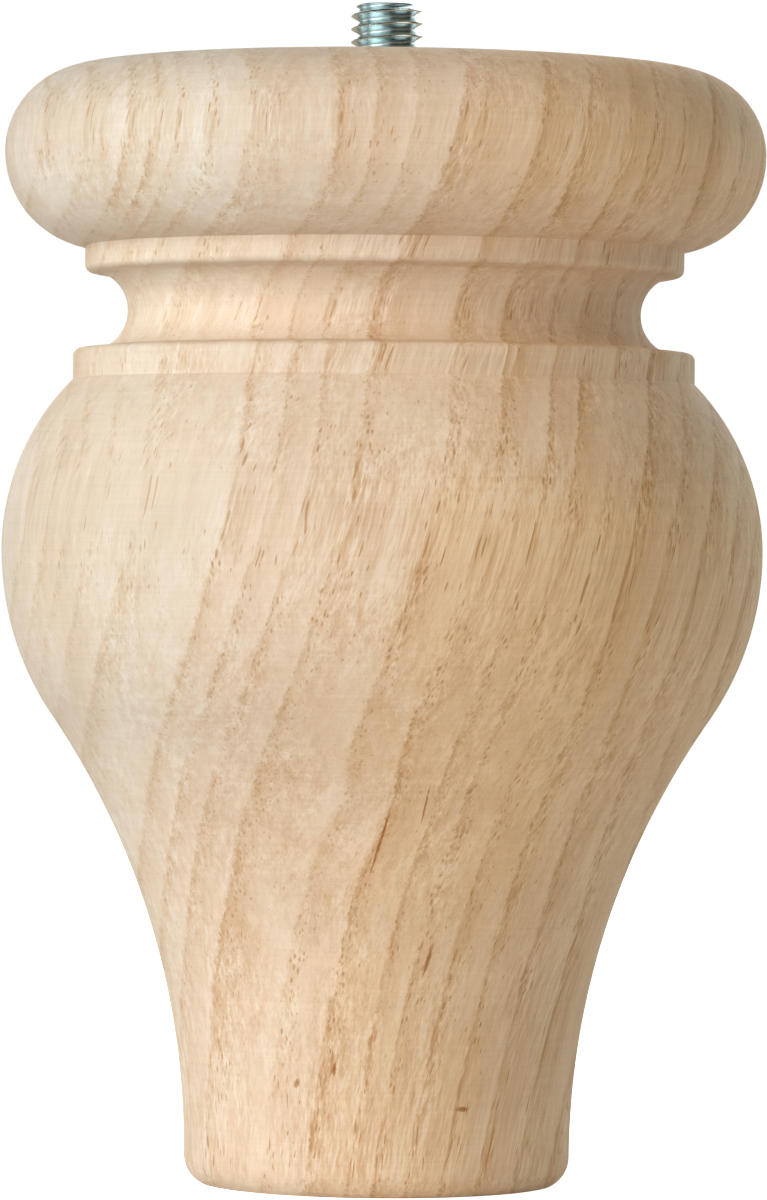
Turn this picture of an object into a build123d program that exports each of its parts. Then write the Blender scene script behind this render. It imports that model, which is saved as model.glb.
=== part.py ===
"""Turned hardwood tulip foot for furniture, with a hanger bolt standing out of its top.

The foot is one turning: a round bead at the top, a narrow band, a cove, a second band, and a
tulip-shaped belly that runs down to a slim ankle. The hanger bolt has a machine-threaded stud above
the wood and a wood screw below it. Millimetres, +Z up, origin at the centre of the sole.
"""

import os
from math import acos, asin, atan2, degrees, radians, sqrt, tan

from build123d import *

# Overall sizes
foot_height = 120.65
foot_diameter = 82.55

# Bead at the top
bead_crown_radius = 9.23
bead_under_radius = 10.37

# Upper band, under the bead
upper_band_inset = 8.77
upper_band_height = 2.66
upper_shoulder_slope = 10.0

# Cove between the two bands
cove_mouth_inset = 11.18
cove_depth = 2.25
cove_radius = 4.38
cove_lip_round = 0.5

# Lower band, on top of the belly
lower_band_inset = 7.53
lower_band_height = 3.25
lower_shoulder_slope = 6.0
band_corner_round = 0.8

# Belly, ankle and sole
belly_upper_radius = 26.2
belly_lower_radius = 31.65
ankle_diameter = 41.8
sole_edge_height = 2.9
sole_edge_radius = 3.3

# Mark that the lathe's tail centre leaves in the sole
centre_mark_diameter = 4.0
centre_mark_angle = 60.0

# Hanger bolt, 5/16 in with 18 threads to the inch above the wood
stud_diameter = 7.8
stud_length = 7.1
stud_tip_chamfer = 0.8
neck_relief = 0.4
neck_length = 3.2
neck_taper = 0.6
screw_root_diameter = 5.7
screw_length = 27.8
screw_point_length = 7.0
screw_point_diameter = 0.8

# Drilled hole that the bolt is driven into
stud_clearance = 0.15
pilot_clearance = 0.1
drill_allowance = 2.0
drill_point_angle = 118.0
hole_mouth_chamfer = 0.6

# Anything nearer than this to a height is at that height
near = 0.01


def rise(radius, offset):
    """Height that a circle of this radius reaches at this distance from its own centre line."""
    return sqrt(radius**2 - offset**2)


# Radii of the turning
foot_radius = foot_diameter / 2
upper_band_radius = foot_radius - upper_band_inset
lower_band_radius = foot_radius - lower_band_inset
cove_mouth_radius = foot_radius - cove_mouth_inset
ankle_radius = ankle_diameter / 2
crown_centre = foot_radius - bead_crown_radius
under_centre = foot_radius - bead_under_radius
upper_belly_centre = foot_radius - belly_upper_radius
lower_belly_centre = foot_radius - belly_lower_radius

# Heights of the turning, stacked down from its top
bead_height = foot_height - bead_crown_radius
upper_band_top = bead_height - rise(bead_under_radius, upper_band_radius - under_centre)
upper_band_bottom = upper_band_top - upper_band_height
upper_shoulder_drop = (upper_band_radius - cove_mouth_radius) * tan(radians(upper_shoulder_slope))
cove_top = upper_band_bottom - upper_shoulder_drop
cove_half_height = rise(cove_radius, cove_radius - cove_depth)
cove_middle = cove_top - cove_half_height
cove_bottom = cove_middle - cove_half_height
lower_shoulder_drop = (lower_band_radius - cove_mouth_radius) * tan(radians(lower_shoulder_slope))
lower_band_top = cove_bottom - lower_shoulder_drop
lower_band_bottom = lower_band_top - lower_band_height
belly_height = lower_band_bottom - rise(belly_upper_radius, lower_band_radius - upper_belly_centre)

# The hollow curve over the ankle touches the belly's lower arc and stands upright at the ankle
ankle_offset = ankle_radius - lower_belly_centre
ankle_drop = belly_height - sole_edge_height
ankle_curve_radius = (ankle_offset**2 + ankle_drop**2 - belly_lower_radius**2) / (
    2 * (belly_lower_radius - ankle_offset)
)
ankle_curve_centre = ankle_radius + ankle_curve_radius
ankle_sweep = degrees(atan2(ankle_drop, ankle_curve_centre - lower_belly_centre))

# Angles at which the arcs meet their neighbours
under_angle = degrees(acos((upper_band_radius - under_centre) / bead_under_radius))
cove_angle = degrees(asin(cove_half_height / cove_radius))
shoulder_angle = degrees(acos((lower_band_radius - upper_belly_centre) / belly_upper_radius))
sole_angle = degrees(asin(sole_edge_height / sole_edge_radius))

# Levels of the bolt and its hole
stud_radius = stud_diameter / 2
stud_top = foot_height + stud_length
neck_radius = stud_radius - neck_relief
screw_radius = screw_root_diameter / 2
neck_bottom = foot_height - neck_length
screw_tip = neck_bottom - screw_length
shank_hole_radius = stud_radius + stud_clearance
pilot_radius = screw_radius + pilot_clearance
hole_depth = foot_height - screw_tip + drill_allowance
drill_point_height = pilot_radius / tan(radians(drill_point_angle / 2))


# Turned foot, one piece of hardwood
with BuildPart() as turned_foot:
    with BuildSketch(Plane.XZ) as profile:
        with BuildLine():
            sole_edge = CenterArc(
                (ankle_radius - sole_edge_radius, sole_edge_height),
                sole_edge_radius,
                -sole_angle,
                sole_angle,
            )
            CenterArc((ankle_curve_centre, sole_edge_height), ankle_curve_radius, 180, -ankle_sweep)
            CenterArc(
                (lower_belly_centre, belly_height), belly_lower_radius, -ankle_sweep, ankle_sweep
            )
            upper_belly = CenterArc(
                (upper_belly_centre, belly_height), belly_upper_radius, 0, shoulder_angle
            )
            cove = CenterArc(
                (cove_mouth_radius - cove_depth + cove_radius, cove_middle),
                cove_radius,
                180 + cove_angle,
                -2 * cove_angle,
            )
            Polyline(upper_belly @ 1, (lower_band_radius, lower_band_top), cove @ 0)
            Polyline(
                cove @ 1,
                (upper_band_radius, upper_band_bottom),
                (upper_band_radius, upper_band_top),
            )
            CenterArc((under_centre, bead_height), bead_under_radius, -under_angle, under_angle)
            bead_crown = CenterArc((crown_centre, bead_height), bead_crown_radius, 0, 90)
            Polyline(bead_crown @ 1, (0, foot_height), (0, 0), sole_edge @ 0)
        make_face()

        # Outer corners of the bands, then the lips of the cove
        corner_rounds = {
            lower_band_top: band_corner_round,
            upper_band_bottom: band_corner_round,
            cove_bottom: cove_lip_round,
            cove_top: cove_lip_round,
        }
        for height, radius in corner_rounds.items():
            fillet(profile.vertices().filter_by_position(Axis.Y, height - near, height + near), radius)
    revolve(axis=Axis.Z)

    # Hole for the bolt: wide enough for the stud at its mouth, a pilot hole for the screw below
    with Locations((0, 0, foot_height)):
        CounterBoreHole(pilot_radius, shank_hole_radius, neck_length, hole_depth)
    with Locations((0, 0, foot_height - hole_depth - drill_point_height / 2)):
        Cone(0, pilot_radius, drill_point_height, mode=Mode.SUBTRACT)
    hole_mouth = turned_foot.faces().sort_by(Axis.Z)[-1].edges().sort_by(SortBy.LENGTH)[0]
    chamfer(hole_mouth, hole_mouth_chamfer)

    # Centre mark in the sole
    centre_mark_depth = centre_mark_diameter / 2 / tan(radians(centre_mark_angle / 2))
    with Locations((0, 0, centre_mark_depth / 2)):
        Cone(centre_mark_diameter / 2, 0, centre_mark_depth, mode=Mode.SUBTRACT)


# Hanger bolt: stud above the wood, plain neck, tapered wood screw below
with BuildPart() as hanger_bolt:
    with BuildSketch(Plane.XZ):
        with BuildLine():
            Polyline(
                (0, stud_top),
                (stud_radius, stud_top),
                (stud_radius, foot_height),
                (neck_radius, foot_height),
                (neck_radius, neck_bottom + neck_taper),
                (screw_radius, neck_bottom),
                (screw_radius, screw_tip + screw_point_length),
                (screw_point_diameter / 2, screw_tip),
                (0, screw_tip),
                close=True,
            )
        make_face()
    revolve(axis=Axis.Z)
    stud_end = hanger_bolt.edges().filter_by_position(Axis.Z, stud_top - near, stud_top + near)
    chamfer(stud_end, stud_tip_chamfer)


os.makedirs("parts", exist_ok=True)
turned_foot.part.label = "turned_foot"
hanger_bolt.part.label = "hanger_bolt"
export_step(turned_foot.part, "parts/turned_foot.step")
export_step(hanger_bolt.part, "parts/hanger_bolt.step")
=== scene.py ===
"""Turned tulip foot with its hanger bolt, laid out as an add-on and run as a script.

The foot is turned from one blank of bare ring-porous hardwood, and a zinc-plated hanger bolt is driven
into its top. Sizes are in metres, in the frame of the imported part: the sole's centre is the origin.
"""

import math

import bpy
from bpy.props import FloatProperty, FloatVectorProperty, IntProperty, PointerProperty
from bpy.types import Operator, Panel, PropertyGroup
from mathutils import Matrix, Vector


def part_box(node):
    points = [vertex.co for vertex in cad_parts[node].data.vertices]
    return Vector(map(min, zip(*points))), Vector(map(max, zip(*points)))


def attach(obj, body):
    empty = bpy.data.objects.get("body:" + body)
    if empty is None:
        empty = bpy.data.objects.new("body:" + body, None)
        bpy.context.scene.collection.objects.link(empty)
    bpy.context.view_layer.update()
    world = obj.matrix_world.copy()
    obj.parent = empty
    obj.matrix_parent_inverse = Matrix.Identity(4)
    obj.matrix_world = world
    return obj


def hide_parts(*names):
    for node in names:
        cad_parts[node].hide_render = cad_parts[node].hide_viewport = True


bl_info = {
    "name": "Tulip Foot",
    "version": (1, 0, 0),
    "blender": (4, 5, 0),
    "location": "View3D > Sidebar > Tulip Foot",
    "description": "A turned hardwood foot with a hanger bolt, and a pale studio for it",
    "category": "Add Mesh",
}

MM = 0.001
HAIR = 0.001 * MM

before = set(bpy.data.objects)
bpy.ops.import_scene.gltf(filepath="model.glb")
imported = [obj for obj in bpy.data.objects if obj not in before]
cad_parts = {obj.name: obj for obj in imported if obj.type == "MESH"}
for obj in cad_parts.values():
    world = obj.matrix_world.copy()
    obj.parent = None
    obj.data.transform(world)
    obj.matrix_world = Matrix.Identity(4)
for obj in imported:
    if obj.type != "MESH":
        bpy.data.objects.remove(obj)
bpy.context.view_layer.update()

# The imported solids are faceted, so the turned pieces are kept a hair inside their facets
FOOT_LOW, FOOT_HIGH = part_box("turned_foot")
BOLT_LOW, BOLT_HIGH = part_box("hanger_bolt")
FOOT_WIDTH = 2 * (min(*FOOT_HIGH.xy, *(-FOOT_LOW).xy) - HAIR)
BOLT_WIDTH = 2 * (min(*BOLT_HIGH.xy, *(-BOLT_LOW).xy) - HAIR)


# Properties that a user would change


def length(name, default, description):
    """A length in metres."""
    return FloatProperty(name=name, description=description, default=default, unit="LENGTH", precision=5)


def angle(name, degrees, description):
    """An angle, given here in degrees and kept in radians."""
    return FloatProperty(
        name=name, description=description, default=math.radians(degrees), unit="ROTATION"
    )


def number(name, default, description):
    """A plain number."""
    return FloatProperty(name=name, description=description, default=default, precision=3)


def colour(name, default, description):
    """A linear colour."""
    return FloatVectorProperty(
        name=name, description=description, default=default, subtype="COLOR", min=0, max=1
    )


def place(name, default, description):
    """A place in metres."""
    return FloatVectorProperty(
        name=name, description=description, default=default, subtype="TRANSLATION", precision=5
    )


class TurningSizes(PropertyGroup):
    """Sizes of the turned foot."""

    height: length("Height", FOOT_HIGH.z, "Sole to top face")
    diameter: length("Diameter", FOOT_WIDTH, "Widest part of the bead and of the belly")
    crown_radius: length("Bead crown", 9.23 * MM, "Arc over the bead's widest line")
    under_radius: length("Bead underside", 10.37 * MM, "Arc under the bead's widest line")
    upper_inset: length("Upper band inset", 8.77 * MM, "Upper band, in from the widest part")
    upper_height: length("Upper band height", 2.66 * MM, "Upright side of the upper band")
    upper_slope: angle("Upper shoulder", 10, "Slope of the shoulder over the cove")
    mouth_inset: length("Cove mouth inset", 11.18 * MM, "Lips of the cove, in from the widest part")
    cove_depth: length("Cove depth", 2.25 * MM, "Depth of the cove behind its lips")
    cove_radius: length("Cove radius", 4.38 * MM, "Arc of the cove")
    lip_round: length("Cove lips", 0.5 * MM, "Rounding of the two lips of the cove")
    lower_inset: length("Lower band inset", 7.53 * MM, "Lower band, in from the widest part")
    lower_height: length("Lower band height", 3.25 * MM, "Upright side of the lower band")
    lower_slope: angle("Lower shoulder", 6, "Slope of the shoulder under the cove")
    corner_round: length("Band corners", 0.8 * MM, "Rounding of the outer corners of the bands")
    belly_upper: length("Upper belly", 26.2 * MM, "Arc of the belly over its widest line")
    belly_lower: length("Lower belly", 31.65 * MM, "Arc of the belly under its widest line")
    ankle_diameter: length("Ankle", 41.8 * MM, "Narrowest part, just over the sole")
    sole_height: length("Sole edge height", 2.9 * MM, "Height at which the sole's edge begins")
    sole_radius: length("Sole edge", 3.3 * MM, "Arc of the sole's edge")
    mark_diameter: length("Centre mark", 4.0 * MM, "Mark of the lathe's tail centre in the sole")
    mark_angle: angle("Centre mark angle", 60, "Point of the tail centre")
    hole_diameter: length("Shank hole", 8.1 * MM, "Hole that clears the stud's thread")
    hole_depth: length("Shank hole depth", 3.2 * MM, "Depth of the wide part of the hole")
    hole_chamfer: length("Hole mouth", 0.6 * MM, "Chamfer at the mouth of the hole")
    pilot_diameter: length("Pilot hole", 5.9 * MM, "Hole under it for the wood screw")
    pilot_depth: length("Pilot depth", 33.0 * MM, "Depth of the pilot hole from the top face")
    drill_angle: angle("Drill point", 118, "Cone at the bottom of the pilot hole")
    around: IntProperty(
        name="Steps around", description="Faces around the turning", default=288, min=24
    )


class BoltSizes(PropertyGroup):
    """Sizes of the hanger bolt."""

    top: length("Stud top", BOLT_HIGH.z, "Height of the stud's end")
    bottom: length("Screw tip", BOLT_LOW.z, "Height of the wood screw's tip")
    stud_diameter: length("Stud diameter", BOLT_WIDTH, "Crests of the machine thread")
    stud_root: length("Stud root", 5.98 * MM, "Roots of the machine thread")
    stud_pitch: length("Stud pitch", 25.4 / 18 * MM, "18 threads to the inch")
    crest_height: length("Crest level", 127.19 * MM, "Height of one crest on the +X side")
    stud_end: length("Stud end", 119.3 * MM, "Height at which the machine thread ends")
    tip_chamfer: length("Tip chamfer", 0.75 * MM, "Chamfer on the stud's end")
    neck_diameter: length("Neck diameter", 7.0 * MM, "Plain neck between the two threads")
    neck_bottom: length("Neck bottom", 117.9 * MM, "Height at which the neck ends")
    screw_diameter: length("Screw diameter", 7.6 * MM, "Crests of the wood thread")
    screw_root: length("Screw root", 5.5 * MM, "Core of the wood screw")
    screw_pitch: length("Screw pitch", 2.82 * MM, "9 threads to the inch")
    point_length: length("Point length", 8.0 * MM, "Tapered point of the wood screw")
    tip_scale: number("Tip scale", 0.15, "Width of the screw's tip, as a share of its full width")
    around: IntProperty(name="Steps around", description="Faces around a thread", default=96, min=12)


class WoodLook(PropertyGroup):
    """Grain and colours of the foot's wood, and the painted light mixed into them."""

    pith_distance: length("Pith distance", 134.0 * MM, "From the foot's axis to the tree's pith, at +X")
    wander: length("Wander", 1.2 * MM, "Slow wander of the rings, so that none is a perfect arc")
    jag: length("Jag", 1.9 * MM, "Raggedness of the row of pores at the start of a ring")
    lean: length("Lean", 12.7 * MM, "How far the rings shift towards +X over 60 mm of height")
    bow: length("Bow", 1.3 * MM, "Bend of the rings over 60 mm of height")
    lean_away: length("Lean away", 10.9 * MM, "How far the rings shift towards +Y over 60 mm")
    fibre_lean: length("Fibre lean", 6.0 * MM, "How far the fibres shift towards +Y over 60 mm")
    grain: place("Grain", (0.2, 0.1, 0.97), "Direction of the fibres, a metre long")
    # Painted light: the colour of the white floor's bounce, which the wood is pulled towards on the bands,
    # the cove and the ankle
    painted_bounce_colour: colour("Paleness", (0.86, 0.74, 0.60), "Paler wood of the bands and the ankle")
    grain_tint: colour("Grain tint", (0.84, 0.73, 0.61), "Tint of the dark start of a ring")
    thread_depth: number("Thread depth", 2.8, "Contrast of the fine fibres, in grain tints")
    streak_depth: number("Streak depth", 2.2, "Contrast of the broader streaks, in grain tints")
    pore_depth: number("Pore depth", 2.4, "Darkness of the pores, in grain tints")
    pore_spacing: length("Pore spacing", 0.46 * MM, "From one pore to the next, across the fibres")
    tiny_depth: number("Small pore depth", 0.5, "Darkness of the small pores, in grain tints")
    tiny_spacing: length("Small pore spacing", 0.30 * MM, "From one small pore to the next")
    fleck_depth: number("Fleck depth", 3.4, "Darkness of the small marks, in grain tints")
    roughness: number("Roughness", 0.60, "Roughness of the sanded wood")


class ZincLook(PropertyGroup):
    """Finish of the hanger bolt, with painted shade in the roots of its thread."""

    plating: colour("Plating", (0.84, 0.945, 0.94), "Bright zinc")
    passivation: colour("Passivation", (0.65, 0.82, 0.83), "Bluish areas of the plating")
    # Painted shade: the roots colour and the two radii below darken the plating's colour towards the roots
    # of the thread
    roots: colour("Roots", (0.46, 0.58, 0.59), "Duller plating in the roots of the thread")
    root_radius: length("Root radius", 3.05 * MM, "Where the plating is dullest")
    crest_radius: length("Crest radius", 3.75 * MM, "Where the plating is brightest")
    roughness: number("Roughness", 0.29, "Roughness of the plating in the roots")
    polish: number("Polish", 0.08, "How much less rough the crests are")


class StudioSettings(PropertyGroup):
    """Camera, backdrop and lights."""

    camera: place("Camera", (3.083 * MM, -717.5 * MM, 66.27 * MM), "Where the camera stands")
    target: place("Target", (0.21 * MM, 0, 63.17 * MM), "Point that the camera is aimed at")
    roll: angle("Roll", -0.544, "Turn of the camera about its own axis")
    lens: number("Lens", 198.3, "Focal length in millimetres, on a 36 mm sensor")
    floor: colour("Floor", (0.84, 0.84, 0.835), "Floor and backdrop")
    glow: number("Paper glow", 0.11, "Light that the paper gives off all round")
    white: number("Paper white", 1.15, "Further light of the paper where it is seen directly")
    cool: colour("Cool light", (0.93, 0.985, 1.0), "Tint of the two softboxes at the right")
    key: number("Key light", 6.8, "Large softbox at the left front, in watts")
    rim: number("Rim light", 2.1, "Softbox at the left, a little behind the foot, in watts")
    front: number("Front light", 1.6, "Softbox beside the camera, in watts")
    right: number("Right light", 1.35, "Softbox at the right, in watts")
    back: number("Back light", 1.4, "Softbox at the right, a little behind the foot, in watts")
    far: number("Far light", 3.0, "Softbox behind the foot, for its far side, in watts")
    distance: length("Light distance", 0.9, "From each softbox to the middle of the foot")
    sweep_width: length("Sweep width", 7.0, "Width and depth of the paper, wide enough for a look all round")
    sweep_height: length("Sweep height", 3.0, "Height of the paper behind the foot")
    sweep_curve: length("Sweep curve", 1.0, "Size of the curve between floor and backdrop")


# Drawing in edit mode


def start_mesh(name):
    """Adds a plane under the piece's name, with nothing else selected, and opens it for editing."""
    bpy.ops.object.select_all(action="DESELECT")
    bpy.ops.mesh.primitive_plane_add(size=MM)
    piece = bpy.context.active_object
    piece.name = piece.data.name = name
    bpy.ops.object.mode_set(mode="EDIT")
    bpy.ops.mesh.select_mode(type="VERT")
    bpy.ops.mesh.select_all(action="SELECT")
    return piece


def apply_all(piece):
    """Applies the piece's modifiers in order."""
    for modifier in list(piece.modifiers):
        bpy.ops.object.modifier_apply(modifier=modifier.name)


def merge_and_face_out():
    """Merges doubled vertices and turns the faces outwards, in edit mode."""
    bpy.ops.mesh.select_all(action="SELECT")
    bpy.ops.mesh.remove_doubles(threshold=HAIR)
    bpy.ops.mesh.normals_make_consistent(inside=False)


class Outline:
    """Half the section of a turning, drawn vertex by vertex in the plane y = 0."""

    finest_turn = math.radians(5)
    longest_step = 0.8 * MM

    def __init__(self, name, radius, height):
        self.piece = start_mesh(name)
        bpy.ops.mesh.merge(type="CENTER")
        bpy.ops.transform.translate(value=(radius, 0, height))
        self.at = Vector((radius, height))

    def line(self, radius, height, steps=1):
        """Draws a straight line to a radius and height."""
        step = (Vector((radius, height)) - self.at) / steps
        for _ in range(steps):
            bpy.ops.mesh.extrude_region_move(TRANSFORM_OT_translate={"value": (step.x, 0, step.y)})
        self.at = Vector((radius, height))

    def arc(self, centre, end):
        """Draws an arc about a centre to a point that lies on it, the shorter way round."""
        centre = Vector(centre)
        start = self.at - centre
        stop = Vector(end) - centre
        sweep = math.atan2(start.x * stop.y - start.y * stop.x, start.dot(stop))
        steps = math.ceil(abs(sweep) * max(start.length / self.longest_step, 1 / self.finest_turn))
        bpy.ops.mesh.spin(steps=steps, angle=sweep, center=(centre.x, 0, centre.y), axis=(0, 1, 0))
        self.at = Vector(end)

    def rounded_corner(self, corner, beyond, rounding):
        """Draws to a corner and round it, ready to go on to the point beyond it."""
        corner = Vector(corner)
        back = (self.at - corner).normalized()
        ahead = (Vector(beyond) - corner).normalized()
        half = back.angle(ahead) / 2
        touch = rounding / math.tan(half)
        centre = corner + (back + ahead).normalized() * rounding / math.sin(half)
        self.line(*(corner + back * touch))
        self.arc(centre, corner + ahead * touch)

    def turn(self, steps):
        """Spins the outline about the foot's axis and closes the object."""
        bpy.ops.mesh.select_all(action="SELECT")
        bpy.ops.mesh.spin(steps=steps, angle=math.tau, center=(0, 0, 0), axis=(0, 0, 1))
        merge_and_face_out()
        bpy.ops.object.mode_set(mode="OBJECT")
        return self.piece


def rise(radius, offset):
    """Height that a circle of this radius reaches at this distance from its own centre line."""
    return math.sqrt(radius**2 - offset**2)


def lip(corner, outwards, upwards, rounding, centre, radius):
    """Rounds the corner where a shoulder meets the cove: its centre, and where it touches each."""
    corner, outwards, centre = Vector(corner), Vector(outwards), Vector(centre)
    start = corner + Vector(upwards) * rounding - centre
    along = start.dot(outwards)
    reach = -along - math.sqrt(along**2 - start.length_squared + (radius - rounding) ** 2)
    middle = centre + start + outwards * reach
    on_cove = centre + (middle - centre) * radius / (radius - rounding)
    return middle, corner + outwards * reach, on_cove


# Pieces


def draw_foot(sizes):
    """Turns the foot, its bolt hole and its centre mark as one closed outline."""
    foot_radius = sizes.diameter / 2
    upper_radius = foot_radius - sizes.upper_inset
    lower_radius = foot_radius - sizes.lower_inset
    mouth_radius = foot_radius - sizes.mouth_inset
    ankle_radius = sizes.ankle_diameter / 2

    # Heights, stacked down from the top face
    bead_height = sizes.height - sizes.crown_radius
    under_centre = foot_radius - sizes.under_radius
    upper_top = bead_height - rise(sizes.under_radius, upper_radius - under_centre)
    upper_bottom = upper_top - sizes.upper_height
    cove_top = upper_bottom - (upper_radius - mouth_radius) * math.tan(sizes.upper_slope)
    cove_half = rise(sizes.cove_radius, sizes.cove_radius - sizes.cove_depth)
    cove_bottom = cove_top - 2 * cove_half
    lower_top = cove_bottom - (lower_radius - mouth_radius) * math.tan(sizes.lower_slope)
    lower_bottom = lower_top - sizes.lower_height
    upper_belly = foot_radius - sizes.belly_upper
    lower_belly = foot_radius - sizes.belly_lower
    belly_height = lower_bottom - rise(sizes.belly_upper, lower_radius - upper_belly)

    # The hollow curve over the ankle touches the belly and stands upright at the ankle
    offset = ankle_radius - lower_belly
    drop = belly_height - sizes.sole_height
    hollow_radius = (offset**2 + drop**2 - sizes.belly_lower**2) / (2 * (sizes.belly_lower - offset))
    hollow = Vector((ankle_radius + hollow_radius, sizes.sole_height))
    belly = Vector((lower_belly, belly_height))
    touch = belly + (hollow - belly).normalized() * sizes.belly_lower

    # Rounded lips of the cove
    cove = Vector((mouth_radius - sizes.cove_depth + sizes.cove_radius, cove_top - cove_half))
    lower_cos, lower_sin = math.cos(sizes.lower_slope), math.sin(sizes.lower_slope)
    upper_cos, upper_sin = math.cos(sizes.upper_slope), math.sin(sizes.upper_slope)
    low_lip, low_shoulder, low_cove = lip(
        (mouth_radius, cove_bottom),
        (lower_cos, -lower_sin),
        (lower_sin, lower_cos),
        sizes.lip_round,
        cove,
        sizes.cove_radius,
    )
    high_lip, high_shoulder, high_cove = lip(
        (mouth_radius, cove_top),
        (upper_cos, upper_sin),
        (upper_sin, -upper_cos),
        sizes.lip_round,
        cove,
        sizes.cove_radius,
    )

    mark_radius = sizes.mark_diameter / 2
    sole = Vector((ankle_radius - sizes.sole_radius, sizes.sole_height))
    outline = Outline("Turned_foot", 0, mark_radius / math.tan(sizes.mark_angle / 2))
    outline.line(mark_radius, 0)
    outline.line(sole.x + rise(sizes.sole_radius, sizes.sole_height), 0, steps=6)
    outline.arc(sole, (ankle_radius, sizes.sole_height))
    outline.arc(hollow, touch)
    outline.arc(belly, (foot_radius, belly_height))
    outline.arc((upper_belly, belly_height), (lower_radius, lower_bottom))
    outline.rounded_corner((lower_radius, lower_top), low_shoulder, sizes.corner_round)
    outline.line(*low_shoulder, steps=2)
    outline.arc(low_lip, low_cove)
    outline.arc(cove, high_cove)
    outline.arc(high_lip, high_shoulder)
    outline.rounded_corner((upper_radius, upper_bottom), (upper_radius, upper_top), sizes.corner_round)
    outline.line(upper_radius, upper_top)
    outline.arc((under_centre, bead_height), (foot_radius, bead_height))
    crown_centre = foot_radius - sizes.crown_radius
    outline.arc((crown_centre, bead_height), (crown_centre, sizes.height))

    # Down into the bolt hole
    hole_radius = sizes.hole_diameter / 2
    pilot_radius = sizes.pilot_diameter / 2
    pilot_end = sizes.height - sizes.pilot_depth
    outline.line(hole_radius + sizes.hole_chamfer, sizes.height, steps=6)
    outline.line(hole_radius, sizes.height - sizes.hole_chamfer)
    outline.line(hole_radius, sizes.height - sizes.hole_depth)
    outline.line(pilot_radius, sizes.height - sizes.hole_depth)
    outline.line(pilot_radius, pilot_end, steps=4)
    outline.line(0, pilot_end - pilot_radius / math.tan(sizes.drill_angle / 2))
    return outline.turn(sizes.around)


# Sections of a thread over one pitch, as shares of the pitch and of the depth
MACHINE_TOOTH = (
    (0.0, 0.0), (0.07, 0.005), (0.14, 0.10), (0.30, 0.55), (0.395, 0.85), (0.44, 0.965), (0.5, 1.0),
    (0.56, 0.965), (0.605, 0.85), (0.70, 0.55), (0.86, 0.10), (0.93, 0.005), (1.0, 0.0),
)
WOOD_TOOTH = (
    (0.0, 0.0), (0.28, 0.0), (0.36, 0.04), (0.50, 0.55), (0.60, 0.93), (0.63, 1.0), (0.66, 0.95),
    (0.72, 0.5), (0.78, 0.05), (0.84, 0.0), (1.0, 0.0),
)

# Vertices nearer than this to the plane of a cut count as on it, in metres
CUT_THRESHOLD = 1e-7


def draw_tooth(shape, diameter, root_diameter, pitch, start=0.0):
    """One pitch of a thread as (radius, height) points, the first of them at the start height."""
    crest, root = diameter / 2, root_diameter / 2
    depth = crest - root
    return [(root + depth * out, start + pitch * up) for up, out in shape]


def draw_thread(name, tooth, pitch, low, high, around):
    """Winds a tooth, given as (radius, height) points one pitch tall, and cuts it off flat."""
    first, *rest = tooth
    turns = math.ceil((high - low) / pitch) + 2
    start = low - pitch - (low - pitch - first[1]) % pitch
    outline = Outline(name, first[0], start)
    for radius, height in rest:
        outline.line(radius, start + height - first[1])
    bpy.ops.object.mode_set(mode="OBJECT")
    thread = outline.piece
    screw = thread.modifiers.new("Thread", "SCREW")
    screw.axis = "Z"
    screw.angle = math.tau
    screw.screw_offset = pitch
    screw.iterations = turns
    screw.steps = screw.render_steps = around
    screw.use_merge_vertices = True
    screw.merge_threshold = HAIR
    apply_all(thread)

    bpy.ops.object.mode_set(mode="EDIT")
    merge_and_face_out()
    for cut, away in ((low, -1), (high, 1)):
        bpy.ops.mesh.select_all(action="SELECT")
        bpy.ops.mesh.bisect(
            plane_co=(0, 0, cut),
            plane_no=(0, 0, away),
            use_fill=True,
            clear_outer=True,
            threshold=CUT_THRESHOLD,
        )
    merge_and_face_out()
    bpy.ops.object.mode_set(mode="OBJECT")
    return thread


def combine(piece, other, operation):
    """Joins or trims a piece with another one, which is used up."""
    bpy.ops.object.select_all(action="DESELECT")
    bpy.context.view_layer.objects.active = piece
    piece.select_set(True)
    boolean = piece.modifiers.new(operation.title(), "BOOLEAN")
    boolean.operation = operation
    boolean.solver = "EXACT"
    boolean.object = other
    apply_all(piece)
    bpy.data.meshes.remove(other.data)
    bpy.ops.object.mode_set(mode="EDIT")
    merge_and_face_out()
    bpy.ops.object.mode_set(mode="OBJECT")


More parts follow.
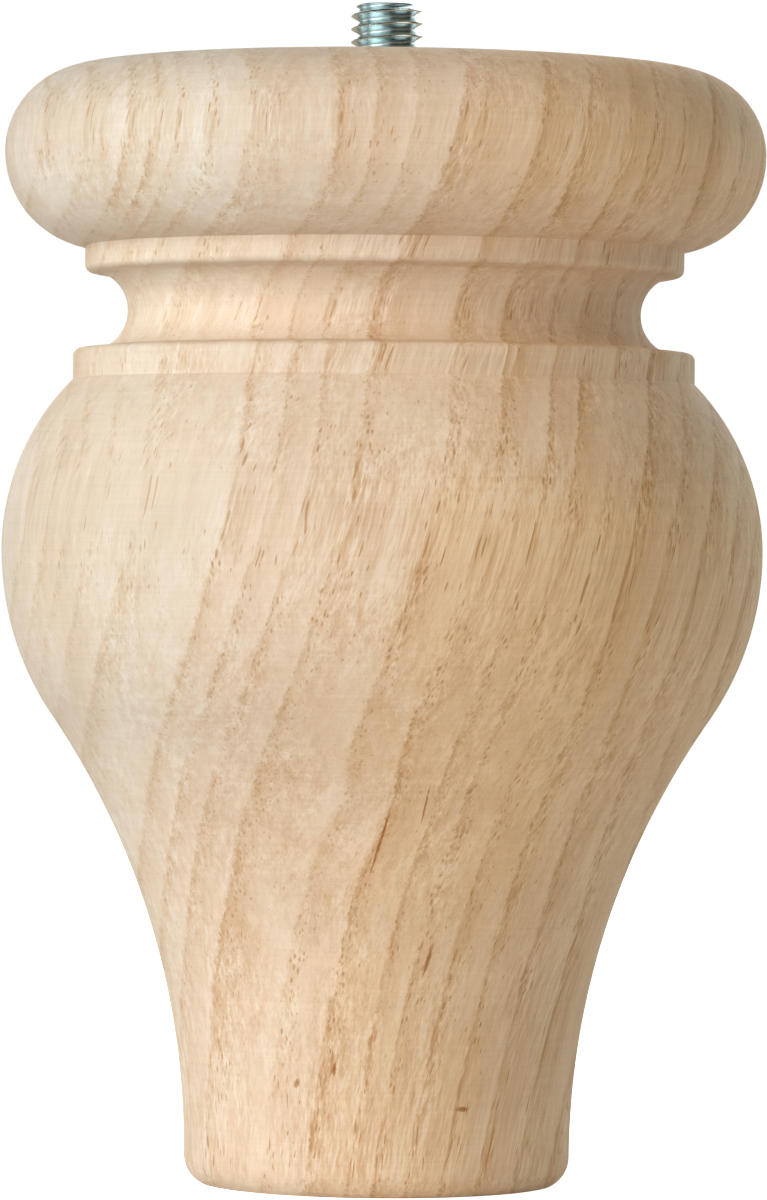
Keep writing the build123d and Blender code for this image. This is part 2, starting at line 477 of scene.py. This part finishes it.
def draw_bolt(sizes):
    """Winds both threads of the hanger bolt and joins them with the neck."""
    crest = sizes.stud_diameter / 2
    neck_radius = sizes.neck_diameter / 2

    # Heights at which the stud, the neck and the screw overlap, so that they join without a gap
    run_out = sizes.stud_end + 0.9 * MM
    blank_end = sizes.stud_end - 0.1 * MM
    neck_top = sizes.stud_end + 0.6 * MM
    neck_end = sizes.neck_bottom - 0.5 * MM
    screw_top = sizes.neck_bottom - 0.2 * MM
    tip_end = sizes.bottom + 0.01 * MM

    machine = draw_tooth(
        MACHINE_TOOTH,
        sizes.stud_diameter,
        sizes.stud_root,
        sizes.stud_pitch,
        sizes.crest_height - sizes.stud_pitch / 2,
    )
    bolt = draw_thread(
        "Hanger_bolt", machine, sizes.stud_pitch, sizes.stud_end, sizes.top, sizes.around
    )

    # Chamfer on the stud's end, and the run-out of its thread into the neck
    blank = Outline("Blank", 0, sizes.top)
    blank.line(crest - sizes.tip_chamfer, sizes.top)
    blank.line(crest, sizes.top - sizes.tip_chamfer)
    blank.line(crest, run_out)
    blank.line(neck_radius - 0.05 * MM, blank_end)
    blank.line(0, blank_end)
    combine(bolt, blank.turn(sizes.around), "INTERSECT")

    neck = Outline("Neck", 0, neck_top)
    neck.line(neck_radius, neck_top)
    neck.line(neck_radius, sizes.neck_bottom)
    neck.line(sizes.screw_root / 2 - 0.1 * MM, neck_end)
    neck.line(0, neck_end)
    combine(bolt, neck.turn(sizes.around), "UNION")

    wood = draw_tooth(WOOD_TOOTH, sizes.screw_diameter, sizes.screw_root, sizes.screw_pitch)
    screw = draw_thread("Screw", wood, sizes.screw_pitch, sizes.bottom, screw_top, sizes.around)

    # Gimlet point: the core and its thread narrow together towards the tip
    for vertex in screw.data.vertices:
        vertex.select = vertex.co.z < tip_end
    bpy.ops.object.mode_set(mode="EDIT")
    bpy.ops.transform.resize(
        value=(sizes.tip_scale, sizes.tip_scale, 1),
        center_override=(0, 0, sizes.bottom),
        use_proportional_edit=True,
        proportional_edit_falloff="LINEAR",
        proportional_size=sizes.point_length,
    )
    bpy.ops.object.mode_set(mode="OBJECT")
    combine(bolt, screw, "UNION")
    return bolt


# Materials


class Wire:
    """A node's output, ready for arithmetic with numbers and other outputs."""

    def __init__(self, nodes, socket):
        self.nodes = nodes
        self.socket = socket

    def __add__(self, other):
        return self.nodes.math("ADD", self, other)

    def __sub__(self, other):
        return self.nodes.math("SUBTRACT", self, other)

    def __mul__(self, other):
        return self.nodes.math("MULTIPLY", self, other)

    def __truediv__(self, other):
        return self.nodes.math("DIVIDE", self, other)

    def __rsub__(self, other):
        return self.nodes.math("SUBTRACT", other, self)

    __radd__ = __add__
    __rmul__ = __mul__


class Nodes:
    """Builds a material, one node at a time. A value may be a number, a colour or a wire."""

    rows = 8
    column_width = 200
    row_height = 260

    def __init__(self, name):
        self.material = bpy.data.materials.new(name)
        self.material.use_nodes = True
        self.tree = self.material.node_tree
        self.tree.nodes.clear()

    def add(self, kind, inputs=(), **settings):
        """Adds a node, sets it up and feeds its inputs, given as {name or index: value}."""
        node = self.tree.nodes.new("ShaderNode" + kind)
        count = len(self.tree.nodes) - 1
        column, row = divmod(count, self.rows)
        node.location = (self.column_width * column, -self.row_height * row)
        for setting, value in settings.items():
            setattr(node, setting, value)
        for socket, value in dict(inputs).items():
            if isinstance(value, Wire):
                self.tree.links.new(value.socket, node.inputs[socket])
            else:
                node.inputs[socket].default_value = value
        return node

    def get(self, output, kind, inputs=(), **settings):
        """Adds a node and returns one of its outputs."""
        return Wire(self, self.add(kind, inputs, **settings).outputs[output])

    def math(self, operation, *values):
        """One step of arithmetic."""
        return self.get(0, "Math", enumerate(values), operation=operation)

    def vector(self, x, y, z):
        """Puts three values together."""
        return self.get(0, "CombineXYZ", {0: x, 1: y, 2: z})

    def split(self, vector):
        """Takes a vector apart."""
        node = self.add("SeparateXYZ", {0: vector})
        return [Wire(self, output) for output in node.outputs]

    def millimetres(self):
        """The place on the piece, in millimetres."""
        place = self.get("Object", "TexCoord")
        return self.get(0, "VectorMath", {0: place, "Scale": 1 / MM}, operation="SCALE")

    def noise(self, vector, detail=2.0, roughness=0.5, scale=1.0):
        """Smooth noise, even about 0 and mostly from -0.5 to 0.5."""
        inputs = {"Vector": vector, "Scale": scale, "Detail": detail, "Roughness": roughness}
        return self.get("Fac", "TexNoise", inputs) - 0.5

    def between(self, value, low, high, start=0.0, end=1.0):
        """Moves a value smoothly from the range low to high to the range start to end."""
        inputs = {0: value, 1: low, 2: high, 3: start, 4: end}
        return self.get(0, "MapRange", inputs, clamp=True, interpolation_type="SMOOTHSTEP")

    def curve(self, value, points):
        """Straight lines through (value, result) points. The curve node itself works from 0 to 1."""
        low, high = points[0][0], points[-1][0]
        bottom = min(result for _, result in points)
        top = max(result for _, result in points)
        node = self.add("FloatCurve", {"Value": self.get(0, "MapRange", {0: value, 1: low, 2: high})})
        marks = node.mapping.curves[0].points
        while len(marks) < len(points):
            marks.new(0.5, 0.5)
        for mark, (spot, result) in zip(marks, points):
            mark.location = ((spot - low) / (high - low), (result - bottom) / (top - bottom))
            mark.handle_type = "VECTOR"
        node.mapping.update()
        return Wire(self, node.outputs[0]) * (top - bottom) + bottom

    def ramp(self, value, stops):
        """Colours along a value, given as (value, colour) stops."""
        low, high = stops[0][0], stops[-1][0]
        node = self.add("ValToRGB", {0: self.get(0, "MapRange", {0: value, 1: low, 2: high})})
        elements = node.color_ramp.elements
        while len(elements) < len(stops):
            elements.new(0.5)
        for element, (spot, shade) in zip(elements, stops):
            element.position = (spot - low) / (high - low)
            element.color = (*shade, 1)
        return Wire(self, node.outputs["Color"])

    def mix(self, factor, first, second, mode="MIX"):
        """Mixes two colours."""
        shades = [shade if isinstance(shade, Wire) else (*shade, 1) for shade in (first, second)]
        inputs = {0: factor, 6: shades[0], 7: shades[1]}
        return self.get(2, "Mix", inputs, data_type="RGBA", blend_type=mode)

    def scaled(self, shade, factor):
        """Makes a colour brighter or darker by a factor that may vary."""
        return self.get(0, "VectorMath", {0: shade, "Scale": factor}, operation="SCALE")

    def bump(self, height_mm):
        """Bends the light as a relief does, given its height in millimetres."""
        return self.get(0, "Bump", {"Strength": 1.0, "Distance": MM, "Height": height_mm})

    def finish(self, inputs):
        """Ends in the surface shader."""
        shader = self.get(0, "BsdfPrincipled", inputs)
        self.add("OutputMaterial", {"Surface": shader})
        return self.material


# Growth rings, in millimetres across the foot at mid height. Each begins at its row of pores.
RINGS = (
    -66, -61, -56, -51.5, -47, -43, -40.5, -38.5, -35.7, -32, -23.4, -20.2, -17, -12.8, -4.2, 1.2,
    6.9, 10.3, 14.8, 19.6, 24.8, 30, 35, 39, 44.5, 49, 55, 60, 66,
)

# Heights over the sole in millimetres: the ring list's, and where the bead's own look fades in
RING_LEVEL = 60.0
COVE_LEVEL = 92.0
BEAD_LEVEL = 106.0

# A healed knot that pulls the rings aside: its place, its reach and its pull, in millimetres
KNOT_ACROSS = -1.5
KNOT_HEIGHT = 42.0
KNOT_WIDTH = 5.5
KNOT_TALL = 5.0
KNOT_PULL = -1.5

# How dark a ring is, by the way through it from its first pores to its end
EARLY_WOOD = (
    (0.0, 1.2), (0.05, 1.1), (0.14, 0.66), (0.40, 0.42), (0.66, 0.18), (0.84, 0.04), (0.91, 0.0),
    (0.96, 0.20), (1.0, 1.0),
)

# How crowded its pores are, the same way through it
PORE_CROWD = (
    (0.0, 1.0), (0.14, 1.0), (0.26, 0.50), (0.45, 0.16), (0.85, 0.06), (0.94, 0.10), (1.0, 1.0),
)

# Colour of the clear wood across the foot, from the greyer sapwood at the left to the pith's side. The
# greyer, cooler left is partly painted light, standing for the whitened lit side of the foot
CLEAR_WOOD_AND_LIT_SIDE = (
    (-58.0, (0.69, 0.63, 0.54)), (-29.0, (0.785, 0.695, 0.57)), (-18.0, (0.825, 0.66, 0.50)),
    (-7.0, (0.90, 0.69, 0.49)), (0.0, (0.94, 0.68, 0.43)), (14.0, (0.95, 0.65, 0.365)),
    (45.0, (0.96, 0.71, 0.43)),
)

# Painted light by height: how far the wood is pulled towards a paler colour, standing for the white floor's
# bounce and reflections on the ankle, the bands and the cove
PAINTED_BOUNCE_BY_HEIGHT = (
    (0.0, 0.28), (25.0, 0.22), (45.0, 0.04), (72.0, 0.0), (84.0, 0.34), (100.0, 0.34), (107.0, 0.0),
    (121.0, 0.0),
)

# Palest and darkest wood, in grain tints
PALEST = -0.18
DARKEST = 2.4

# Small dark flecks on the front, in millimetres: place across, height, half width, half length, and lean
FLECKS = (
    (0.2, 38.0, 0.15, 3.0, 0.30),
    (4.9, 42.0, 0.10, 1.8, 0.22),
    (5.3, 25.4, 0.20, 1.5, 0.28),
    (-4.5, 13.7, 0.25, 0.55, 0.10),
    (-8.4, 12.1, 0.25, 0.45, 0.10),
    (9.1, 9.5, 0.55, 0.25, 0.0),
)


def wood_material(look):
    """Bare ring-porous hardwood: a solid pattern that the turned surface cuts through, with painted light
    and shade mixed into its colour.
    """
    n = Nodes("Bare hardwood")
    mm = n.millimetres()
    x, y, z = n.split(mm)

    # Slow wander of the grain, so that no ring is a perfect arc, and a kink by the healed knot
    slow = n.vector(x * 0.06, y * 0.06, z * 0.03)
    wander = n.noise(slow, 3.0) * (look.wander / MM)
    knot_x = (x - KNOT_ACROSS) / KNOT_WIDTH
    knot_z = (z - KNOT_HEIGHT) / KNOT_TALL
    kink = n.math("EXPONENT", (knot_x * knot_x + knot_z * knot_z) * -1.0) * KNOT_PULL

    # Distance from the pith, whose line leans and bows with height
    level = (z - RING_LEVEL) / RING_LEVEL
    level_squared = level * level
    pith = look.pith_distance / MM
    across = x - level * (look.lean / MM) - level_squared * (look.bow / MM) - pith
    away = y - level * (look.lean_away / MM)
    distance = n.math("SQRT", across * across + away * away)

    # The rings fan out to the sides, by height
    side = x / 40.0
    fan = side * (level * -5.4 + level_squared * 6.1 + side * side * 3.0)

    # Straighter in the left half of the bead
    upright = n.math("MAXIMUM", z - BEAD_LEVEL, 0.0) * n.between(x, -6.0, 14.0, 0.2, 0.0)
    ring_place = pith - distance + fan + wander + kink + upright

    # Coordinates that follow the fibres: across the rings, along the rings and up the fibres
    tangent = y - level * (look.fibre_lean / MM)

    def grain(rings, tangents, fibres):
        return n.vector(ring_place * rings, tangent * tangents, z * fibres)

    # Plain at the left and livelier towards the pith, but even in the bead
    vigour = n.between(ring_place, -45.0, 6.0, 0.42, 1.05)
    bead_vigour = n.between(ring_place, -15.0, 12.0, 0.74, 0.92)
    vigour = vigour + (bead_vigour - vigour) * n.between(z, COVE_LEVEL, BEAD_LEVEL)

    # Jagged edge of each ring, where its first pores stand in a row
    jag = n.noise(grain(1.4, 2.6, 0.12), 4.0, 0.75) * (look.jag / MM)
    ring = n.curve(ring_place + jag, [(spot, index) for index, spot in enumerate(RINGS)])
    through = n.math("FRACT", ring)
    kind = n.get("Value", "TexWhiteNoise", {"W": n.math("FLOOR", ring)}, noise_dimensions="1D")

    # Dark at the start of a ring, paling towards its end
    early = n.curve(through, EARLY_WOOD)
    clear = n.between(n.noise(grain(0.10, 0.10, 0.035)), -0.16, 0.16, 0.25, 1.15)
    early = early * (kind * 0.4 + 0.6) * clear

    # Fibres, from fine threads to broad streaks and blotches
    threads = n.noise(grain(3.4, 3.4, 0.22), 3.0, 0.75)
    streaks = n.noise(grain(1.1, 0.9, 0.06), 3.0, 0.65)
    blotches = n.noise(n.vector(x * 0.05, y * 0.05, z * 0.09), 3.0, 0.55)
    warmth = n.noise(grain(0.30, 0.20, 0.04), 3.0, 0.6)

    # Threads are clear where the surface runs along the fibres, and fade where it cuts across them
    normal = n.get("Normal", "NewGeometry")
    ends = n.get("Value", "VectorMath", {0: normal, 1: look.grain}, operation="DOT_PRODUCT")
    along = n.between(n.math("ABSOLUTE", ends), 0.10, 0.60, 1.05, 0.55)

    # Pores are long tubes that weave up the fibres and open where the surface cuts them
    weave = n.get("Color", "TexNoise", {"Vector": grain(0.28, 0.28, 0.13), "Scale": 1.0, "Detail": 1.0})

    def tubes(spacing, bore, share):
        """Tubes of a spacing and bore in millimetres. The share of them that are open may vary."""
        spread = n.get(0, "VectorMath", {0: weave, "Scale": 1.7 / spacing}, operation="SCALE")
        spot = n.get(0, "VectorMath", {0: grain(1 / spacing, 1 / spacing, 0.0), 1: spread})
        node = n.add("TexVoronoi", {"Vector": spot, "Scale": 1.0}, voronoi_dimensions="2D")
        chance, size, phase = n.split(Wire(n, node.outputs["Color"]))
        swell = n.math("ABSOLUTE", n.math("FRACT", z * 0.16 + phase * 9.0) - 0.5)
        radius = (size * 0.7 + 0.65) * n.between(swell, 0.05, 0.30) * n.math("LESS_THAN", chance, share)
        gap = Wire(n, node.outputs["Distance"]) / n.math("MAXIMUM", radius * bore / spacing, 0.001)
        return (1.0 - n.between(gap, 0.40, 1.25)) * (size * 0.6 + 0.4)

    crowd = n.curve(through, PORE_CROWD)
    pore = tubes(look.pore_spacing / MM, crowd * 0.045 + 0.07, crowd)
    tiny = tubes(look.tiny_spacing / MM, 0.060, 0.6)

    # Colour: paler and greyer sapwood at the left, warmer towards the pith. The greyer left is partly
    # painted light on the lit side
    tone = ring_place + level * 7.0
    clear_and_lit = n.ramp(tone, CLEAR_WOOD_AND_LIT_SIDE)
    lively = n.between(n.noise(grain(0.16, 0.16, 0.05), roughness=0.6), -0.15, 0.15, 0.5, 1.5)
    fibres = threads * along * look.thread_depth + streaks * look.streak_depth
    gathered = fibres * lively * (crowd * 0.7 + 0.75)
    density = early - gathered + pore * along * look.pore_depth + tiny * look.tiny_depth
    blush = n.between(tone, -44.0, -38.0) * n.between(tone, -34.0, -28.0, 0.22, 0.0)
    density = density * vigour + n.between(warmth, -0.2, 0.2, 0.0, 0.35) + blush
    density = n.math("MINIMUM", n.math("MAXIMUM", density, PALEST), DARKEST)
    # Painted light: the wood is pulled by height towards a paler colour, standing for the white floor's
    # bounce on the ankle, the bands and the cove
    painted_bounce = n.curve(z, PAINTED_BOUNCE_BY_HEIGHT)
    body = n.scaled(n.mix(painted_bounce, clear_and_lit, look.painted_bounce_colour), blotches * 0.14 + 1.0)

    # Faint rings left by the chisel and by sanding in the lathe
    lathe = n.noise(n.vector(x * 0.06, y * 0.06, z * 3.4), roughness=0.75)
    body = n.scaled(body, lathe * 0.14 + 1.0)

    # Fibre ends take in more light than fibre sides. Faces turned down along the fibres are also made darker
    # than faces turned up: painted shade on the undersides
    body = n.scaled(body, ends * 0.06 - ends * ends * 0.08 + 1.0)

    # Flecks, on the side towards the camera only
    for fleck_x, fleck_z, width, tall, lean in FLECKS:
        up = z - fleck_z
        over = (x - fleck_x - up * lean) / width
        up = up / tall
        near = over * over + up * up + threads * 3.0 + n.math("LESS_THAN", 0.0, y) * 100.0
        density = density + n.between(near, -0.2, 2.0, look.fleck_depth, 0.0)

    # The denser the fibres, the deeper and warmer their colour
    tints = [n.math("POWER", shade, density) for shade in look.grain_tint]
    body = n.mix(1.0, body, n.vector(*tints), "MULTIPLY")

    return n.finish({
        "Base Color": body,
        "Roughness": threads * 0.10 + look.roughness,
        "Normal": n.bump(threads * 0.012 + lathe * 0.008),
        "Specular IOR Level": 0.25,
    })


def zinc_material(look):
    """Bright zinc plating with a faint bluish passivation. Its colour darkens in the roots of the thread:
    painted shade.
    """
    n = Nodes("Zinc plating")
    mm = n.millimetres()
    x, y, _ = n.split(mm)
    radius = n.math("SQRT", x * x + y * y)
    # Towards the roots the plating is rougher and its colour darker; the darker colour is painted shade
    crest = n.between(radius, look.root_radius / MM, look.crest_radius / MM)
    patches = n.between(n.noise(mm, 3.0, 0.6, scale=0.45), -0.15, 0.15)
    grain = n.noise(mm, 3.0, 0.6, scale=9.0)
    plate = n.mix(patches, look.passivation, look.plating)
    return n.finish({
        "Base Color": n.mix(crest, look.roots, plate),
        "Metallic": 1.0,
        "Roughness": grain * 0.12 - crest * look.polish + look.roughness,
        "Normal": n.bump(grain * 0.01),
    })


def backdrop_material(settings):
    """Plain white paper. Seen directly it looks overexposed, as behind a product in a white studio."""
    n = Nodes("White paper")
    seen = n.get("Is Camera Ray", "LightPath")
    return n.finish({
        "Base Color": (*settings.floor, 1),
        "Roughness": 0.9,
        "Specular IOR Level": 0.1,
        "Emission Color": (*settings.floor, 1),
        "Emission Strength": seen * settings.white + settings.glow,
    })


# Operators and the panel


# A finished piece has at least this many faces
FEWEST_FACES = 1000


def finish_piece(piece, material, node, sharp_degrees):
    """Shades a piece smooth, paints it and ties it to the frame."""
    if len(piece.data.polygons) < FEWEST_FACES:
        raise RuntimeError(piece.name + " has too few faces")
    bpy.ops.object.select_all(action="DESELECT")
    bpy.context.view_layer.objects.active = piece
    piece.select_set(True)
    bpy.ops.object.shade_smooth_by_angle(angle=math.radians(sharp_degrees))
    piece.data.materials.clear()
    piece.data.materials.append(material)
    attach(piece, "root")
    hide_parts(node)


class TULIP_OT_turned_foot(Operator):
    """Turn the foot from one blank of hardwood"""

    bl_idname = "mesh.tulip_turned_foot"
    bl_label = "Turned Foot"
    bl_options = {"REGISTER", "UNDO"}

    def execute(self, context):
        piece = draw_foot(context.scene.tulip_turning)
        wood = wood_material(context.scene.tulip_wood)
        finish_piece(piece, wood, "turned_foot", sharp_degrees=30)
        return {"FINISHED"}


class TULIP_OT_hanger_bolt(Operator):
    """Wind the hanger bolt's two threads and join them"""

    bl_idname = "mesh.tulip_hanger_bolt"
    bl_label = "Hanger Bolt"
    bl_options = {"REGISTER", "UNDO"}

    def execute(self, context):
        piece = draw_bolt(context.scene.tulip_bolt)
        zinc = zinc_material(context.scene.tulip_zinc)
        finish_piece(piece, zinc, "hanger_bolt", sharp_degrees=40)
        return {"FINISHED"}


# Softboxes: name, the setting with its power, width and height, azimuth and elevation, and tinted or not.
# Azimuth 0 is in front, and -90 at the left.
SOFTBOXES = (
    ("Key_light", "key", (0.8, 0.8), -50, 20, False),
    ("Rim_light", "rim", (0.5, 0.8), -110, 5, False),
    ("Front_light", "front", (0.6, 0.5), -8, 5, False),
    ("Right_light", "right", (0.6, 0.6), 68, 52, True),
    ("Back_light", "back", (0.4, 0.8), 140, 8, True),
    ("Far_light", "far", (0.8, 0.8), 180, 30, False),
)

# Camera's sensor in millimetres, and its clipping in metres
SENSOR_WIDTH = 36
CLIP_START = 0.05
CLIP_END = 20


def softbox(name, watts, size, azimuth, elevation, tint, target, distance):
    """Adds a softbox that faces the target."""
    azimuth, elevation = math.radians(azimuth), math.radians(elevation)
    level = math.cos(elevation)
    away = Vector((math.sin(azimuth) * level, -math.cos(azimuth) * level, math.sin(elevation)))
    bpy.ops.object.light_add(type="AREA", location=target + away * distance)
    lamp = bpy.context.active_object
    lamp.name = lamp.data.name = name
    lamp.rotation_euler = (-away).to_track_quat("-Z", "Y").to_euler()
    lamp.data.shape = "RECTANGLE"
    lamp.data.size, lamp.data.size_y = size
    lamp.data.energy = watts
    lamp.data.color = tint


class TULIP_OT_studio(Operator):
    """Set up the backdrop, the lights and the camera"""

    bl_idname = "scene.tulip_studio"
    bl_label = "Studio"
    bl_options = {"REGISTER", "UNDO"}

    def execute(self, context):
        settings = context.scene.tulip_studio
        middle = Vector((0, 0, context.scene.tulip_turning.height / 2))

        # Paper sweep: a floor whose back edge is drawn up, and the corner rounded
        floor = start_mesh("Paper_sweep")
        wider = settings.sweep_width / MM
        bpy.ops.transform.resize(value=(wider, wider, 1))
        bpy.ops.mesh.select_all(action="DESELECT")
        bpy.ops.object.mode_set(mode="OBJECT")
        for edge in floor.data.edges:
            ends = [floor.data.vertices[v].co.y for v in edge.vertices]
            edge.select = min(ends) > 0
        bpy.ops.object.mode_set(mode="EDIT")
        bpy.ops.mesh.select_mode(type="EDGE")
        bpy.ops.mesh.extrude_region_move(
            TRANSFORM_OT_translate={"value": (0, 0, settings.sweep_height)}
        )
        bpy.ops.object.mode_set(mode="OBJECT")
        bevel = floor.modifiers.new("Sweep", "BEVEL")
        bevel.width = settings.sweep_curve
        bevel.segments = 24
        bevel.limit_method = "ANGLE"
        apply_all(floor)
        bpy.ops.object.shade_smooth()
        floor.data.materials.append(backdrop_material(settings))

        for name, power, size, azimuth, elevation, tinted in SOFTBOXES:
            watts = getattr(settings, power)
            tint = settings.cool if tinted else (1, 1, 1)
            softbox(name, watts, size, azimuth, elevation, tint, middle, settings.distance)

        # White all round where it is seen directly, but no light from it
        world = bpy.data.worlds.new("Studio")
        world.use_nodes = True
        seen = world.node_tree.nodes.new("ShaderNodeLightPath")
        background = world.node_tree.nodes["Background"]
        background.inputs["Color"].default_value = (1, 1, 1, 1)
        world.node_tree.links.new(seen.outputs["Is Camera Ray"], background.inputs["Strength"])
        context.scene.world = world
        context.scene.view_settings.view_transform = "Standard"
        context.scene.view_settings.look = "None"

        bpy.ops.object.camera_add(location=settings.camera)
        camera = bpy.context.active_object
        camera.name = "Camera"
        aim = Vector(settings.target) - Vector(settings.camera)
        turned = Matrix.Rotation(settings.roll, 3, aim)
        camera.rotation_euler = (turned @ aim.to_track_quat("-Z", "Y").to_matrix()).to_euler()
        camera.data.sensor_width = SENSOR_WIDTH
        camera.data.lens = settings.lens
        camera.data.clip_start = CLIP_START
        camera.data.clip_end = CLIP_END
        context.scene.camera = camera
        return {"FINISHED"}


class TULIP_PT_panel(Panel):
    """Lists the pieces and the studio"""

    bl_idname = "TULIP_PT_panel"
    bl_label = "Tulip Foot"
    bl_space_type = "VIEW_3D"
    bl_region_type = "UI"
    bl_category = "Tulip Foot"

    def draw(self, context):
        for step in STEPS:
            self.layout.operator(step.bl_idname)


STEPS = (TULIP_OT_turned_foot, TULIP_OT_hanger_bolt, TULIP_OT_studio)
SETTINGS = {
    "tulip_turning": TurningSizes,
    "tulip_bolt": BoltSizes,
    "tulip_wood": WoodLook,
    "tulip_zinc": ZincLook,
    "tulip_studio": StudioSettings,
}


def register():
    for kind in (*SETTINGS.values(), *STEPS, TULIP_PT_panel):
        bpy.utils.register_class(kind)
    for name, kind in SETTINGS.items():
        setattr(bpy.types.Scene, name, PointerProperty(type=kind))


def unregister():
    for name in SETTINGS:
        delattr(bpy.types.Scene, name)
    for kind in (TULIP_PT_panel, *reversed(STEPS), *reversed(SETTINGS.values())):
        bpy.utils.unregister_class(kind)


def main():
    """Builds the foot, the bolt and the studio."""
    register()
    bpy.ops.mesh.tulip_turned_foot()
    bpy.ops.mesh.tulip_hanger_bolt()
    bpy.ops.scene.tulip_studio()


if __name__ == "__main__":
    main()
